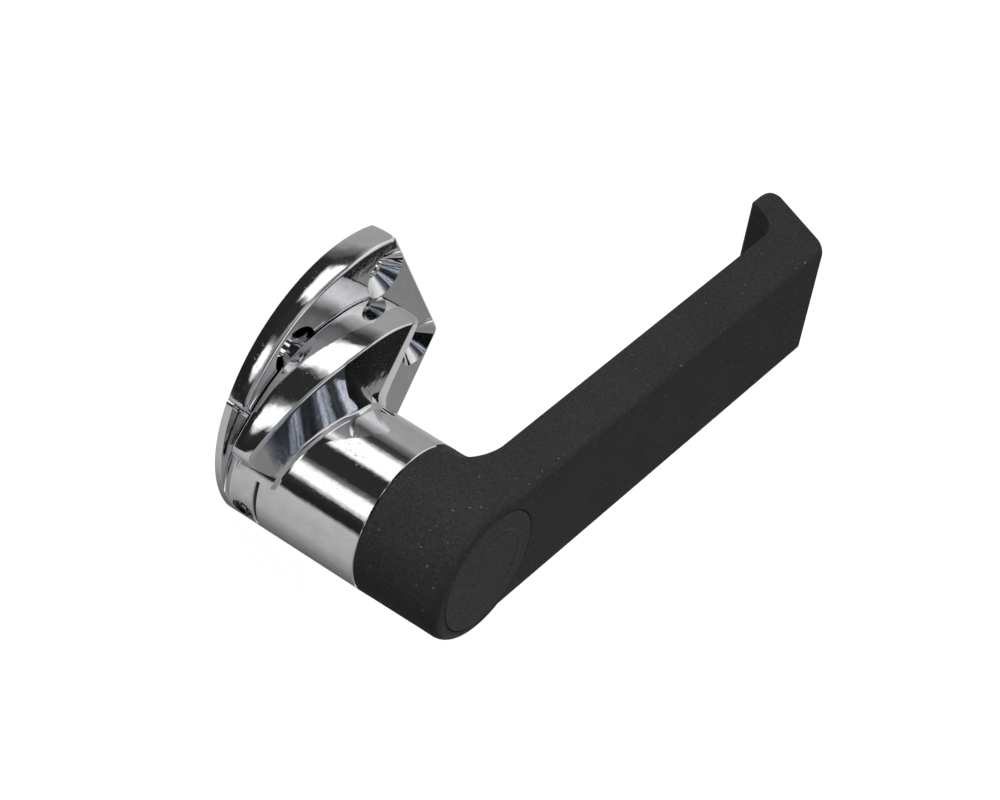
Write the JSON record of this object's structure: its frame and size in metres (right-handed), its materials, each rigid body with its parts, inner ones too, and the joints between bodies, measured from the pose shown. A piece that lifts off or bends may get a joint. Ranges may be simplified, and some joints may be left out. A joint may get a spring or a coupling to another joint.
{
  "type": "cam latch",
  "caption": "Surface-mount cam latch: an eccentric base plate with countersunk holes carries a turning barrel with a spiral cam lobe, worked by a lever handle with a pull lip.",
  "frame": {"origin": "on the barrel's axis, in the plane of the plate's flat back", "axes": "+Z along the barrel axis, out of the door towards the lever; +X along the lever in its open position; +Y towards the plate's side that carries two of the screw holes"},
  "size_m": [0.1737, 0.0714, 0.0648],
  "materials": {
    "chromed_casting": "polished, chrome plated",
    "bush_plastic": "moulded, black",
    "dark_steel": "blackened",
    "steel": "plain",
    "black_plastic": "moulded, fine texture",
    "cap_plastic": "moulded, smooth"
  },
  "bodies": {
    "base": {"base_plate": "chromed_casting", "bearing_bush": "bush_plastic", "limit_screw": "dark_steel"},
    "rotor": {"rotor_cam": "chromed_casting", "thrust_washer": "steel", "wave_washer": "steel", "retaining_ring": "dark_steel", "lever_handle": "black_plastic", "handle_washer": "steel", "handle_screw": "steel", "hub_cap": "cap_plastic"}
  },
  "joints": [
    {"name": "lever_turn", "type": "hinge", "parent": "base", "child": "rotor", "pos_m": [0, 0, 0], "axis": [0, 0, 1], "range_deg": [0, 90]}
  ]
}
